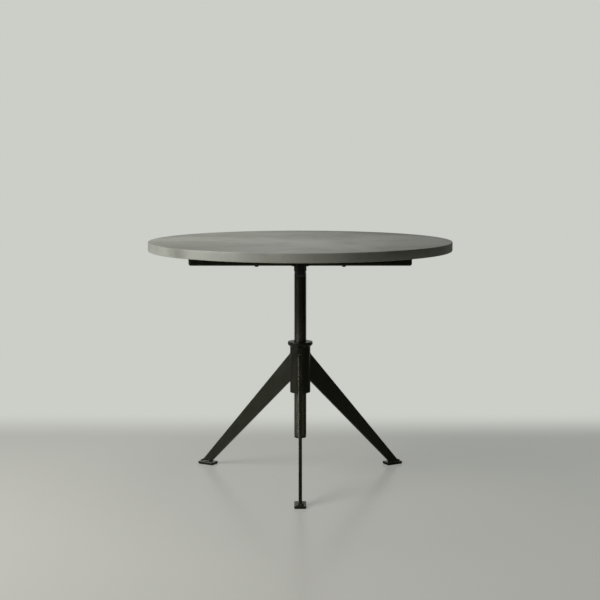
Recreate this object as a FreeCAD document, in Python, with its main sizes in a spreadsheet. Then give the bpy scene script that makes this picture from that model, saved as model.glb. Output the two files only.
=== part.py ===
import FreeCAD, Part
import math
import os

import Sketcher

# A round stone table on a lifting screw. A cross of steel tubes under the top stands on a
# trapezoidal screw. The screw turns in a flanged nut, which sits in a tube hub on three
# plate legs, so turning the top raises or lowers it by one pitch a turn.
# +Z is up, the screw's axis is the Z axis, and the floor is z = 0. Lengths are millimetres.

Vector = FreeCAD.Vector
UP = Vector(0, 0, 1)
WHOLE_TURN = 360
ROUGH = 10  # how far out a sketch's points lie until its dimensions move them
SAME = 1e-6  # two lengths or volumes closer than this count as equal
PARALLEL = 0.9999  # least share of an axis in the direction of an edge that runs along it
SLANT = 0.1  # least share of two axes in the direction of an edge that slopes
SPARE_TURNS = 1  # how far a thread's cut runs on beyond the metal at an end

document = FreeCAD.newDocument("PedestalTable")
sheet = document.addObject("Spreadsheet::Sheet", "Sizes")


# ---------------------------------------------------------------- driving sizes

SIZES = [
    # the stone top
    ("table_height", 850, "floor to the face of the top, as it stands"),
    ("top_diameter", 1066.8, "42 inches"),
    ("top_thickness", 32, ""),
    ("top_arris", 1.5, "small bevel round the upper edge"),
    ("top_under_bevel", 3.5, "bevel round the lower edge"),
    ("insert_diameter", 12, "threaded insert let into the stone"),
    ("insert_length", 20, ""),
    # the cross under the top
    ("pad_thickness", 6, "rubber between steel and stone"),
    ("pad_diameter", 26, ""),
    ("bolt_reach", 154, "screw's axis to a top bolt"),
    ("top_overhang", 139.7, "arm's cap to the edge of the top"),
    ("end_pad_inset", 24, "arm's cap to the middle of an end pad"),
    ("arm_depth", 50, ""),
    ("arm_width", 30, ""),
    ("arm_wall", 3, ""),
    ("arm_corner", 5, "outer corner radius of the tube"),
    ("arm_bore_corner", 2, "inner corner radius of the tube"),
    ("cap_flange", 9, ""),
    ("cap_round", 8, ""),
    ("cap_plug", 16, "length pushed into the tube"),
    ("cap_rib_gap", 0.15, "between plug and tube wall"),
    ("block_width", 60, "square block that the arms are welded to"),
    ("block_corner", 3, ""),
    ("arm_weld", 4, "throat leg of the beads round the arm roots"),
    ("bolt_diameter", 8, ""),
    ("bolt_play", 0.4, "round a bolt in its holes"),
    ("bolt_grip", 14, "how far a bolt enters its insert"),
    ("bolt_head_diameter", 14, "button head"),
    ("bolt_head_height", 4.4, ""),
    ("bolt_head_round", 3, ""),
    ("bolt_socket", 5, "across flats"),
    ("bolt_socket_depth", 2.6, ""),
    # the screw
    ("screw_diameter", 44, "crest of the thread"),
    ("thread_pitch", 7, "rise of one turn"),
    ("thread_depth", 2.4, "stub form, about a third of the pitch"),
    ("flank_angle", 15, "degrees, half the angle of the trapezoid"),
    ("thread_play", 0.35, "between the flanks, along the axis"),
    ("crest_play", 0.5, "between crest and root"),
    ("plain_neck", 20, "unthreaded length under the block"),
    ("relief_width", 5, "turned groove that the thread runs out in"),
    ("relief_extra", 0.5, "relief deeper than the thread"),
    ("screw_foot_height", 145, "floor to the stop washer, as it stands"),
    ("screw_end_bevel", 2, ""),
    ("spigot_diameter", 28, "turned end in the block"),
    ("fixed_gap", 0.1, "between two pieces that are pressed or locked together"),
    ("loose_gap", 0.3, "between two pieces that move on each other"),
    ("key_diameter", 6, "pin let half into block and half into spigot"),
    ("key_length", 25, ""),
    ("end_screw_diameter", 10, ""),
    ("end_screw_length", 32, ""),
    ("end_screw_head", 19, "countersunk at 90 degrees"),
    ("end_screw_socket", 6, "across flats"),
    ("end_screw_socket_depth", 3.2, ""),
    ("tapping_spare", 4, "hole beyond a screw's tip"),
    ("retaining_diameter", 44, "washer over the spigot, in the block's counterbore"),
    ("retaining_thickness", 5.5, ""),
    ("washer_bevel", 0.5, ""),
    ("clamp_gap", 0.5, "spigot below the washer, so that the washer clamps the block"),
    ("stop_diameter", 43, "loose washer at the foot of the screw"),
    ("stop_thickness", 6, ""),
    ("stop_bevel", 2, ""),
    # nut, hub and bush
    ("flange_height", 492, "floor to the nut's upper face"),
    ("flange_diameter", 88, ""),
    ("flange_thickness", 18, ""),
    ("flange_round", 1.5, "upper edge"),
    ("flange_taper", 8, "bevel under the flange"),
    ("nut_length", 122, ""),
    ("nut_mouth_bevel", 2, ""),
    ("hub_diameter", 72, ""),
    ("hub_bore", 62, ""),
    ("hub_bevel", 1, ""),
    ("bush_length", 30, ""),
    ("bush_to_nut", 30.5, "open length of hub between them"),
    ("bush_play", 0.35, "round the crest of the thread"),
    ("bush_bevel", 1.5, ""),
    ("grub_diameter", 6, ""),
    ("grub_length", 9, ""),
    ("grub_drop", 18, "below the flange"),
    ("grub_recess", 0.6, "below the hub's face"),
    ("grub_socket", 3, "across flats"),
    ("grub_socket_depth", 3.5, ""),
    # legs and feet
    ("leg_thickness", 12, ""),
    ("leg_edge", 0.5, "ground edge of the plate"),
    ("leg_cope", 2, "root cut back to the hub's curve"),
    ("leg_shoulder_drop", 24, "hub's upper end to the leg's upper edge"),
    ("leg_armpit_rise", 41.5, "hub's foot to the leg's lower edge"),
    ("leg_toe_reach", 422, "outer end of the leg on its foot plate"),
    ("leg_foot_length", 39, "toe to heel"),
    ("plate_toe", 8, "foot plate's outer end beyond the leg's toe"),
    ("plate_length", 64, "along the leg"),
    ("plate_width", 40, ""),
    ("plate_thickness", 8, ""),
    ("plate_corner", 4, ""),
    ("plate_edge", 1, "rounded upper edge"),
    ("glide_thickness", 2, ""),
    ("glide_inset", 2, "plate's edge to the glide's"),
    ("hub_weld", 5, "leg of the beads beside the legs"),
    ("foot_weld", 7, "leg of the bead round a leg's foot"),
    ("foot_weld_height", 6, ""),
    ("foot_weld_crest", 1, "flat along the top of the bead"),
]


def spread(sides, first=0.0):
    """The angle of each side, evenly round the screw's axis."""
    step = WHOLE_TURN / len(sides)
    return {side: first + index * step for index, side in enumerate(sides)}


ARMS = spread(("right", "back", "left", "front"))
LEGS = spread(("front", "right", "left"), -WHOLE_TURN / 4)
ARM_COUNT = len(ARMS)
LEG_COUNT = len(LEGS)

for row, (alias, number, meaning) in enumerate(SIZES, start=1):
    sheet.set(f"A{row}", alias)
    sheet.set(f"B{row}", str(number))
    sheet.set(f"C{row}", meaning)
    sheet.setAlias(f"B{row}", alias)
document.recompute()


def size(alias):
    return float(sheet.get(alias))


# Heights and lengths that several pieces share, as expressions on the sheet.
TOP_UNDERSIDE = "(Sizes.table_height - Sizes.top_thickness)"
CROSS_TOP = f"({TOP_UNDERSIDE} - Sizes.pad_thickness)"
CROSS_BASE = f"({CROSS_TOP} - Sizes.arm_depth)"
ARM_START = "(Sizes.block_width / 2)"
CROSS_REACH = "(Sizes.top_diameter / 2 - Sizes.top_overhang)"
ARM_END = f"({CROSS_REACH} - Sizes.cap_flange)"
COUNTERBORE = "(Sizes.retaining_thickness + Sizes.clamp_gap)"
SPIGOT_LENGTH = f"(Sizes.arm_depth - {COUNTERBORE} - Sizes.clamp_gap)"
SCREW_BASE = "(Sizes.screw_foot_height + Sizes.stop_thickness + Sizes.loose_gap)"
SCREW_SHANK = f"({CROSS_BASE} - {SCREW_BASE})"
NUT_BORE = "(Sizes.screw_diameter / 2 - Sizes.thread_depth + Sizes.crest_play)"
HUB_TOP = "(Sizes.flange_height - Sizes.flange_thickness)"
NUT_BASE = "(Sizes.flange_height - Sizes.nut_length)"
HUB_FOOT = f"({NUT_BASE} - Sizes.bush_to_nut - Sizes.bush_length)"
HUB_LENGTH = f"({HUB_TOP} - {HUB_FOOT})"
IN_HUB = "(Sizes.hub_bore / 2 - Sizes.fixed_gap)"
PLATE_TOP = "(Sizes.glide_thickness + Sizes.plate_thickness)"
HEAD_CONE = "((Sizes.end_screw_head - Sizes.end_screw_diameter) / 2)"
END_SCREW_HOLE = "Sizes.end_screw_diameter + 2 * Sizes.fixed_gap"
END_SCREW_DEPTH = "Sizes.end_screw_length + Sizes.tapping_spare"
KEY_HOLE = "Sizes.key_diameter + 2 * Sizes.fixed_gap"
BOLT_HOLE = "Sizes.bolt_diameter + 2 * Sizes.bolt_play"
GRUB_HOLE = "Sizes.grub_diameter + 2 * Sizes.fixed_gap"
GRUB_HEIGHT = f"({HUB_TOP} - Sizes.grub_drop)"
GRUB_FACE = "(Sizes.hub_diameter / 2 - Sizes.grub_recess)"
LEG_SHOULDER = f"({HUB_TOP} - Sizes.leg_shoulder_drop)"
LEG_ARMPIT = f"({HUB_FOOT} + Sizes.leg_armpit_rise)"
LEG_HEEL = "(Sizes.leg_toe_reach - Sizes.leg_foot_length)"
LEG_RUN = f"((Sizes.leg_toe_reach - Sizes.hub_diameter / 2) / ({LEG_SHOULDER} - {PLATE_TOP}))"


# ---------------------------------------------------------------- drawing helpers

def origin_feature(body, role):
    return next(item for item in body.Origin.OriginFeatures if item.Role == role)


def new_body(label):
    body = document.addObject("PartDesign::Body", label)
    body.Label = label
    body.AllowCompound = True
    return body


def near(first, second):
    return abs(first - second) < SAME


def place(item, height="0", yaw=0.0):
    """Stand a piece at a height, turned about the screw's axis."""
    item.Placement = FreeCAD.Placement(Vector(0, 0, 0), FreeCAD.Rotation(UP, yaw))
    item.setExpression("Placement.Base.z", height)
    return item


def hang(item, height):
    """Hang a piece head down from a height."""
    upside_down = FreeCAD.Rotation(Vector(1, 0, 0), WHOLE_TURN / 2)
    item.Placement = FreeCAD.Placement(Vector(0, 0, 0), upside_down)
    item.setExpression("Placement.Base.z", height)
    return item


def new_sketch(body, plane, offset=None):
    """A sketch on one of the body's own planes, moved along its normal by an expression."""
    drawing = body.newObject("Sketcher::SketchObject", "Sketch")
    drawing.AttachmentSupport = (origin_feature(body, plane), "")
    drawing.MapMode = "FlatFace"
    if offset is not None:
        drawing.setExpression("AttachmentOffset.Base.z", offset)
    return drawing


def pin_point(drawing, element, end, across, along):
    """Dimension one point of a sketch from the origin."""
    point = drawing.getPoint(element, end)
    for kind, axis, expression, start in (
        ("DistanceX", -2, across, point.x),
        ("DistanceY", -1, along, point.y),
    ):
        if expression == "0":
            drawing.addConstraint(Sketcher.Constraint("PointOnObject", element, end, axis))
        else:
            number = drawing.addConstraint(
                Sketcher.Constraint(kind, -1, 1, element, end, start)
            )
            drawing.setExpression(f"Constraints[{number}]", expression)


def draw_outline(drawing, corners):
    """A closed outline of straight lines through the corners, each a pair of expressions."""
    count = len(corners)
    first = drawing.GeometryCount
    rough = [
        Vector(math.cos(2 * math.pi * i / count), math.sin(2 * math.pi * i / count), 0) * ROUGH
        for i in range(count)
    ]
    for i in range(count):
        drawing.addGeometry(Part.LineSegment(rough[i], rough[(i + 1) % count]))
    for i in range(count):
        drawing.addConstraint(
            Sketcher.Constraint("Coincident", first + i, 2, first + (i + 1) % count, 1)
        )
    for i, (across, along) in enumerate(corners):
        pin_point(drawing, first + i, 1, across, along)


def draw_circle(drawing, diameter, across="0", along="0"):
    circle = drawing.addGeometry(Part.Circle(Vector(0, 0, 0), UP, ROUGH / 2))
    number = drawing.addConstraint(Sketcher.Constraint("Diameter", circle, ROUGH))
    drawing.setExpression(f"Constraints[{number}]", diameter)
    pin_point(drawing, circle, 3, across, along)


def draw_rectangle(drawing, left, right, bottom, top):
    draw_outline(drawing, [(left, bottom), (right, bottom), (right, top), (left, top)])


def draw_hexagon(drawing, flats, across="0", along="0"):
    """A socket's outline: flats is the width across flats."""
    corners = []
    for corner in range(6):
        angle = 60 * corner
        reach = f"({flats}) / 2 / cos(30)"
        corners.append(
            (
                f"{across} + {reach} * cos({angle})",
                f"{along} + {reach} * sin({angle})",
            )
        )
    draw_outline(drawing, corners)


def checked(feature, volume_before, sign):
    """A pad must add material and a cut must take some away; sign 0 allows either."""
    document.recompute()
    change = feature.Shape.Volume - volume_before
    if abs(change) < SAME or change * sign < 0:
        raise RuntimeError(f"{feature.Name} changed the volume by {change:.3f} mm3")
    return feature


def volume_of(body):
    document.recompute()
    return body.Shape.Volume if not body.Shape.isNull() else 0.0


def pad(body, drawing, length, midplane=False, backward=False):
    before = volume_of(body)
    feature = body.newObject("PartDesign::Pad", "Pad")
    feature.Profile = drawing
    feature.setExpression("Length", length)
    feature.Midplane = midplane
    feature.Reversed = backward
    return checked(feature, before, 1)


def pocket(body, drawing, length=None, forward=False):
    """A cut against the sketch's normal, or along it if forward; through all with no length."""
    before = volume_of(body)
    feature = body.newObject("PartDesign::Pocket", "Pocket")
    feature.Profile = drawing
    if length is None:
        feature.Type = "ThroughAll"
    else:
        feature.setExpression("Length", length)
    feature.Reversed = forward
    return checked(feature, before, -1)


def revolve(body, drawing):
    before = volume_of(body)
    feature = body.newObject("PartDesign::Revolution", "Revolution")
    feature.Profile = drawing
    feature.ReferenceAxis = (drawing, ["V_Axis"])
    feature.Angle = WHOLE_TURN
    return checked(feature, before, 1)


def round_edges(body, radius, wanted):
    """Fillet the edges of the body's last feature that the test wants."""
    base = body.Tip
    names = [f"Edge{i}" for i, edge in enumerate(base.Shape.Edges, start=1) if wanted(edge)]
    feature = body.newObject("PartDesign::Fillet", "Fillet")
    feature.Base = (base, names)
    feature.setExpression("Radius", radius)
    return checked(feature, base.Shape.Volume, 0)


def repeat_round(body, copies, cut_alone=None):
    """Repeat the whole body round the Z axis, or one cut of it alone."""
    before = volume_of(body)
    original = cut_alone or body.Tip
    feature = body.newObject("PartDesign::PolarPattern", "PolarPattern")
    feature.Originals = [original]
    feature.TransformMode = "Features" if cut_alone else "Whole shape"
    feature.Axis = (origin_feature(body, "Z_Axis"), [""])
    feature.Angle = WHOLE_TURN
    feature.Occurrences = copies
    body.Tip = feature
    return checked(feature, before, -1 if cut_alone else 1)


def turned(label, corners):
    """A piece turned on the lathe: the corners are (radius, height) from its own base."""
    body = new_body(label)
    drawing = new_sketch(body, "XZ_Plane")
    draw_outline(drawing, corners)
    revolve(body, drawing)
    return body


def direction(edge):
    return edge.tangentAt(edge.FirstParameter)


def along_x(edge):
    return not edge.Degenerated and abs(direction(edge).x) > PARALLEL


def along_z(edge):
    return not edge.Degenerated and abs(direction(edge).z) > PARALLEL


def sloping(edge):
    return abs(direction(edge).x) > SLANT and abs(direction(edge).z) > SLANT


def screw_sweep(name, inner, outer, half_width, start, turns):
    """The solid that a four-cornered section leaves as it screws up round the Z axis.

    half_width gives half the section's width at a radius. One turn is swept, and its sides
    are stacked for as many turns as the piece needs, with a flat section at each end.
    """
    pitch = size("thread_pitch")
    section = Part.makePolygon(
        [
            Vector(inner, 0, -half_width(inner)),
            Vector(outer, 0, -half_width(outer)),
            Vector(outer, 0, half_width(outer)),
            Vector(inner, 0, half_width(inner)),
            Vector(inner, 0, -half_width(inner)),
        ]
    )
    one_turn = Part.Wire(Part.makeHelix(pitch, pitch, outer).Edges)
    sides = one_turn.makePipeShell([section], False, True).Faces
    faces = []
    for turn in range(turns):
        lift = Vector(0, 0, start + turn * pitch)
        faces += [side.translated(lift) for side in sides]
    for end in (start, start + turns * pitch):
        faces.append(Part.Face(section).translated(Vector(0, 0, end)))
    shell = Part.makeShell(faces)
    shell.sewShape()
    solid = Part.makeSolid(shell)
    if solid.Volume < 0:
        solid.reverse()
    feature = document.addObject("Part::Feature", name)
    feature.Shape = solid
    return feature


def cut(label, base, tool):
    feature = document.addObject("Part::Cut", label)
    feature.Label = label
    feature.Base = base
    feature.Tool = tool
    feature.Refine = False
    return feature


# ---------------------------------------------------------------- the stone top

def at_quarter(reach, angle):
    """The two expressions for a point at a reach from the axis, at a quarter turn."""
    return {
        0: (reach, "0"),
        90: ("0", reach),
        180: (f"-({reach})", "0"),
        270: ("0", f"-({reach})"),
    }[angle]


def make_tabletop():
    """A disc of stone, with four blind holes underneath for the threaded inserts."""
    radius = "Sizes.top_diameter / 2"
    body = turned(
        "tabletop",
        [
            ("0", "0"),
            (f"{radius} - Sizes.top_under_bevel", "0"),
            (radius, "Sizes.top_under_bevel"),
            (radius, "Sizes.top_thickness - Sizes.top_arris"),
            (f"{radius} - Sizes.top_arris", "Sizes.top_thickness"),
            ("0", "Sizes.top_thickness"),
        ],
    )
    holes = new_sketch(body, "XY_Plane")
    hole = "Sizes.insert_diameter + 2 * Sizes.fixed_gap"
    for angle in ARMS.values():
        draw_circle(holes, hole, *at_quarter("Sizes.bolt_reach", angle))
    pocket(body, holes, "Sizes.insert_length + Sizes.fixed_gap", forward=True)
    return place(body, TOP_UNDERSIDE)


def make_inserts():
    """Four sleeves glued into the stone, tapped for the bolts from below."""
    body = new_body("threaded_inserts")
    ring = new_sketch(body, "XY_Plane")
    draw_circle(ring, "Sizes.insert_diameter", "Sizes.bolt_reach")
    draw_circle(ring, "Sizes.bolt_diameter + 2 * Sizes.fixed_gap", "Sizes.bolt_reach")
    pad(body, ring, "Sizes.insert_length")
    repeat_round(body, ARM_COUNT)
    return place(body, TOP_UNDERSIDE)


def make_bolt_pads():
    """Rubber rings round the bolts, between the arms and the stone."""
    body = new_body("bolt_pads")
    ring = new_sketch(body, "XY_Plane")
    draw_circle(ring, "Sizes.pad_diameter", "Sizes.bolt_reach")
    draw_circle(ring, BOLT_HOLE, "Sizes.bolt_reach")
    pad(body, ring, "Sizes.pad_thickness")
    repeat_round(body, ARM_COUNT)
    return place(body, CROSS_TOP)


def make_end_pads():
    """Plain rubber discs near the arm ends."""
    body = new_body("end_pads")
    disc = new_sketch(body, "XY_Plane")
    draw_circle(disc, "Sizes.pad_diameter", f"{CROSS_REACH} - Sizes.end_pad_inset")
    pad(body, disc, "Sizes.pad_thickness")
    repeat_round(body, ARM_COUNT)
    return place(body, CROSS_TOP)


# ---------------------------------------------------------------- the cross

def make_arm(side, angle):
    """A length of rectangular tube on edge, with a bolt hole through both walls."""
    body = new_body(f"arm_{side}")
    section = new_sketch(body, "YZ_Plane", ARM_START)
    draw_rectangle(
        section, "-Sizes.arm_width / 2", "Sizes.arm_width / 2", "0", "Sizes.arm_depth"
    )
    pad(body, section, f"{ARM_END} - {ARM_START}")
    round_edges(body, "Sizes.arm_corner", along_x)
    bore = new_sketch(body, "YZ_Plane", ARM_START)
    inside = "(Sizes.arm_width / 2 - Sizes.arm_wall)"
    draw_rectangle(
        bore, f"-{inside}", inside, "Sizes.arm_wall", "Sizes.arm_depth - Sizes.arm_wall"
    )
    pocket(body, bore, forward=True)
    bore_side = size("arm_width") / 2 - size("arm_wall")
    round_edges(
        body,
        "Sizes.arm_bore_corner",
        lambda edge: along_x(edge) and near(abs(edge.CenterOfMass.y), bore_side),
    )
    hole = new_sketch(body, "XY_Plane")
    draw_circle(hole, BOLT_HOLE, "Sizes.bolt_reach")
    pocket(body, hole, forward=True)
    return place(body, CROSS_BASE, angle)


def make_arm_cap(side, angle):
    """A moulded cap: a domed flange over the tube's end and a plug inside it."""
    body = new_body(f"arm_cap_{side}")
    flange = new_sketch(body, "YZ_Plane", ARM_END)
    draw_rectangle(
        flange, "-Sizes.arm_width / 2", "Sizes.arm_width / 2", "0", "Sizes.arm_depth"
    )
    pad(body, flange, "Sizes.cap_flange")
    round_edges(body, "Sizes.arm_corner", along_x)
    outer_face = size("top_diameter") / 2 - size("top_overhang")
    round_edges(body, "Sizes.cap_round", lambda edge: near(edge.CenterOfMass.x, outer_face))
    plug = new_sketch(body, "YZ_Plane", ARM_END)
    wall = "(Sizes.arm_wall + Sizes.cap_rib_gap)"
    half_plug = f"(Sizes.arm_width / 2 - {wall})"
    draw_rectangle(plug, f"-{half_plug}", half_plug, wall, f"Sizes.arm_depth - {wall}")
    pad(body, plug, "Sizes.cap_plug", backward=True)
    round_edges(
        body,
        "Sizes.arm_bore_corner",
        lambda edge: along_x(edge) and edge.CenterOfMass.x < outer_face - size("cap_flange"),
    )
    return place(body, CROSS_BASE, angle)


def make_centre_block():
    """A square block, bored for the spigot and counterbored for the washer on top."""
    body = new_body("centre_block")
    outline = new_sketch(body, "XY_Plane")
    half = "Sizes.block_width / 2"
    draw_rectangle(outline, f"-{half}", half, f"-{half}", half)
    pad(body, outline, "Sizes.arm_depth")
    round_edges(body, "Sizes.block_corner", along_z)
    bore = new_sketch(body, "XY_Plane")
    draw_circle(bore, "Sizes.spigot_diameter + 2 * Sizes.fixed_gap")
    pocket(body, bore, forward=True)
    counterbore = new_sketch(body, "XY_Plane", "Sizes.arm_depth")
    draw_circle(counterbore, "Sizes.retaining_diameter + 2 * Sizes.fixed_gap")
    pocket(body, counterbore, COUNTERBORE)
    key_hole = new_sketch(body, "XY_Plane", f"Sizes.arm_depth - {COUNTERBORE}")
    draw_circle(key_hole, KEY_HOLE, "0", "Sizes.spigot_diameter / 2")
    pocket(body, key_hole, "Sizes.key_length")
    return place(body, CROSS_BASE)


def make_arm_welds():
    """Upright beads in the corners between each arm's sides and the block."""
    body = new_body("arm_weld_beads")
    corners = new_sketch(body, "XY_Plane")
    side = "(Sizes.arm_width / 2 + Sizes.fixed_gap / 2)"
    root = "(Sizes.block_width / 2 + Sizes.fixed_gap / 2)"
    for sign in ("", "-"):
        draw_outline(
            corners,
            [
                (root, f"{sign}{side}"),
                (f"{root} + Sizes.arm_weld", f"{sign}{side}"),
                (root, f"{sign}({side} + Sizes.arm_weld)"),
            ],
        )
    pad(body, corners, "Sizes.arm_depth - 2 * Sizes.arm_corner")
    repeat_round(body, ARM_COUNT)
    return place(body, f"{CROSS_BASE} + Sizes.arm_corner")


def make_top_bolts():
    """Button-head screws, up through the arms and pads into the inserts."""
    body = new_body("top_bolts")
    shank = new_sketch(body, "XY_Plane")
    draw_circle(shank, "Sizes.bolt_diameter", "Sizes.bolt_reach")
    pad(body, shank, "Sizes.arm_depth + Sizes.pad_thickness + Sizes.bolt_grip")
    head = new_sketch(body, "XY_Plane")
    draw_circle(head, "Sizes.bolt_head_diameter", "Sizes.bolt_reach")
    pad(body, head, "Sizes.bolt_head_height", backward=True)
    lowest = -size("bolt_head_height")
    round_edges(body, "Sizes.bolt_head_round", lambda edge: near(edge.CenterOfMass.z, lowest))
    socket = new_sketch(body, "XY_Plane", "-Sizes.bolt_head_height")
    draw_hexagon(socket, "Sizes.bolt_socket", "Sizes.bolt_reach")
    pocket(body, socket, "Sizes.bolt_socket_depth", forward=True)
    repeat_round(body, ARM_COUNT)
    return place(body, CROSS_BASE)


# ---------------------------------------------------------------- the lifting screw

def groove_half_width(radius):
    """Half the width of the screw's groove at a radius: half a pitch wide at mid-depth."""
    middle = (size("screw_diameter") - size("thread_depth")) / 2
    slope = math.tan(math.radians(size("flank_angle")))
    return size("thread_pitch") / 4 + (radius - middle) * slope


def nut_groove_half_width(radius):
    """The nut's groove takes the screw's ridge, with play at both flanks."""
    return size("thread_pitch") / 2 - groove_half_width(radius) + size("thread_play")


def thread_end():
    """The height of the middle of the run-out groove, where the thread's last turn ends."""
    over_the_screw = ("top_thickness", "pad_thickness", "arm_depth", "plain_neck")
    neck_base = size("table_height") - sum(size(name) for name in over_the_screw)
    return neck_base - size("relief_width") / 2


def make_lift_screw():
    """A trapezoidal screw: threaded shank, run-out groove, plain neck and turned spigot.

    The crest is a cylinder and the thread is one screwed cut. Both ends are tapped.
    """
    crest = "Sizes.screw_diameter / 2"
    relief = f"({crest} - Sizes.thread_depth - Sizes.relief_extra)"
    relief_top = f"({SCREW_SHANK} - Sizes.plain_neck)"
    relief_base = f"({relief_top} - Sizes.relief_width)"
    spigot = "Sizes.spigot_diameter / 2"
    screw_top = f"({SCREW_SHANK} + {SPIGOT_LENGTH})"
    blank = turned(
        "screw_blank",
        [
            ("0", "0"),
            (f"{crest} - Sizes.screw_end_bevel", "0"),
            (crest, "Sizes.screw_end_bevel"),
            (crest, relief_base),
            (relief, relief_base),
            (relief, relief_top),
            (crest, relief_top),
            (crest, SCREW_SHANK),
            (spigot, SCREW_SHANK),
            (spigot, screw_top),
            ("0", screw_top),
        ],
    )
    foot_hole = new_sketch(blank, "XY_Plane")
    draw_circle(foot_hole, END_SCREW_HOLE)
    pocket(blank, foot_hole, END_SCREW_DEPTH, forward=True)
    top_hole = new_sketch(blank, "XY_Plane", screw_top)
    draw_circle(top_hole, END_SCREW_HOLE)
    pocket(blank, top_hole, END_SCREW_DEPTH)
    key_slot = new_sketch(blank, "XY_Plane", screw_top)
    draw_circle(key_slot, KEY_HOLE, "0", spigot)
    pocket(blank, key_slot, "Sizes.key_length - Sizes.clamp_gap")
    place(blank, SCREW_BASE)

    pitch = size("thread_pitch")
    foot = size("screw_foot_height")
    turns = math.ceil((thread_end() - foot) / pitch) + SPARE_TURNS
    thread = screw_sweep(
        "screw_groove",
        size("screw_diameter") / 2 - size("thread_depth"),
        size("screw_diameter") / 2 + size("loose_gap"),
        groove_half_width,
        thread_end() - turns * pitch,
        turns,
    )
    return cut("lift_screw", blank, thread)


def make_drive_key():
    """A plain pin, half in the block and half in the spigot, that turns the screw."""
    body = new_body("drive_key")
    outline = new_sketch(body, "XY_Plane", f"Sizes.arm_depth - {COUNTERBORE} - Sizes.clamp_gap")
    draw_circle(outline, "Sizes.key_diameter", "0", "Sizes.spigot_diameter / 2")
    pad(body, outline, "Sizes.key_length - 2 * Sizes.clamp_gap", backward=True)
    return place(body, CROSS_BASE)


def countersunk_washer(label, diameter, thickness, gap, bevel):
    """A flat washer, countersunk in its upper face, round a screw with a gap."""
    bore = f"(Sizes.end_screw_diameter / 2 + {gap})"
    outside = f"({diameter} / 2)"
    return turned(
        label,
        [
            (bore, "0"),
            (f"{outside} - {bevel}", "0"),
            (outside, bevel),
            (outside, f"{thickness} - {bevel}"),
            (f"{outside} - {bevel}", thickness),
            (f"Sizes.end_screw_head / 2 + {gap} * sqrt(2)", thickness),
            (bore, f"{thickness} - {HEAD_CONE} - {gap} * (sqrt(2) - 1)"),
        ],
    )


def countersunk_screw(label):
    """A countersunk screw, head up, with a hexagon socket."""
    shank = "Sizes.end_screw_diameter / 2"
    body = turned(
        label,
        [
            ("0", "0"),
            (shank, "0"),
            (shank, f"Sizes.end_screw_length - {HEAD_CONE}"),
            ("Sizes.end_screw_head / 2", "Sizes.end_screw_length"),
            ("0", "Sizes.end_screw_length"),
        ],
    )
    socket = new_sketch(body, "XY_Plane", "Sizes.end_screw_length")
    draw_hexagon(socket, "Sizes.end_screw_socket")
    pocket(body, socket, "Sizes.end_screw_socket_depth")
    return body


def make_retaining_washer():
    """Lies in the block's counterbore and holds the screw up."""
    body = countersunk_washer(
        "retaining_washer",
        "Sizes.retaining_diameter",
        "Sizes.retaining_thickness",
        "Sizes.fixed_gap",
        "Sizes.washer_bevel",
    )
    return place(body, f"{CROSS_TOP} - {COUNTERBORE}")


def make_retaining_screw():
    """Its head is flush with the retaining washer."""
    body = countersunk_screw("retaining_screw")
    return place(body, f"{CROSS_TOP} - Sizes.clamp_gap - Sizes.end_screw_length")


def make_stop_washer():
    """Loose under the screw's foot: wider than the nut's bore, so the screw can't leave it."""
    body = countersunk_washer(
        "stop_washer",
        "Sizes.stop_diameter",
        "Sizes.stop_thickness",
        "Sizes.loose_gap",
        "Sizes.stop_bevel",
    )
    return hang(body, f"{SCREW_BASE} - Sizes.loose_gap")


def make_stop_screw():
    """Its head is flush with the stop washer's underside."""
    body = countersunk_screw("stop_screw")
    return hang(body, "Sizes.screw_foot_height + Sizes.end_screw_length")


# ---------------------------------------------------------------- nut, hub and bush

def make_lift_nut():
    """A flanged nut: its sleeve fills the upper hub and its flange sits on the hub's end."""
    flange = "Sizes.flange_diameter / 2"
    hub = "Sizes.hub_diameter / 2"
    under = "(Sizes.nut_length - Sizes.flange_thickness)"
    mouth = f"({NUT_BORE} + Sizes.nut_mouth_bevel)"
    blank = turned(
        "nut_blank",
        [
            (NUT_BORE, "Sizes.nut_mouth_bevel"),
            (mouth, "0"),
            (IN_HUB, "0"),
            (IN_HUB, under),
            (hub, under),
            (flange, f"{under} + Sizes.flange_taper"),
            (flange, "Sizes.nut_length"),
            (mouth, "Sizes.nut_length"),
            (NUT_BORE, "Sizes.nut_length - Sizes.nut_mouth_bevel"),
        ],
    )
    rim = size("flange_diameter") / 2
    face = size("nut_length")
    round_edges(
        blank,
        "Sizes.flange_round",
        lambda edge: isinstance(edge.Curve, Part.Circle)
        and near(edge.Curve.Radius, rim)
        and near(edge.CenterOfMass.z, face),
    )
    tip_of_grub = f"({GRUB_FACE} - Sizes.grub_length - Sizes.fixed_gap)"
    drill = new_sketch(blank, "XZ_Plane", f"-{tip_of_grub}")
    draw_circle(drill, GRUB_HOLE, "0", f"{GRUB_HEIGHT} - {NUT_BASE}")
    repeat_round(blank, LEG_COUNT, cut_alone=pocket(blank, drill))
    place(blank, NUT_BASE)

    pitch = size("thread_pitch")
    in_step = thread_end() + pitch / 2
    base = size("flange_height") - size("nut_length")
    turns_below = math.ceil((in_step - base) / pitch) + SPARE_TURNS
    turns = math.ceil(size("nut_length") / pitch) + 3 * SPARE_TURNS
    bore = size("screw_diameter") / 2 - size("thread_depth") + size("crest_play")
    ridge = screw_sweep(
        "nut_groove",
        bore - size("loose_gap"),
        size("screw_diameter") / 2 + size("crest_play"),
        nut_groove_half_width,
        in_step - turns_below * pitch,
        turns,
    )
    return cut("lift_nut", blank, ridge)


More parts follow.
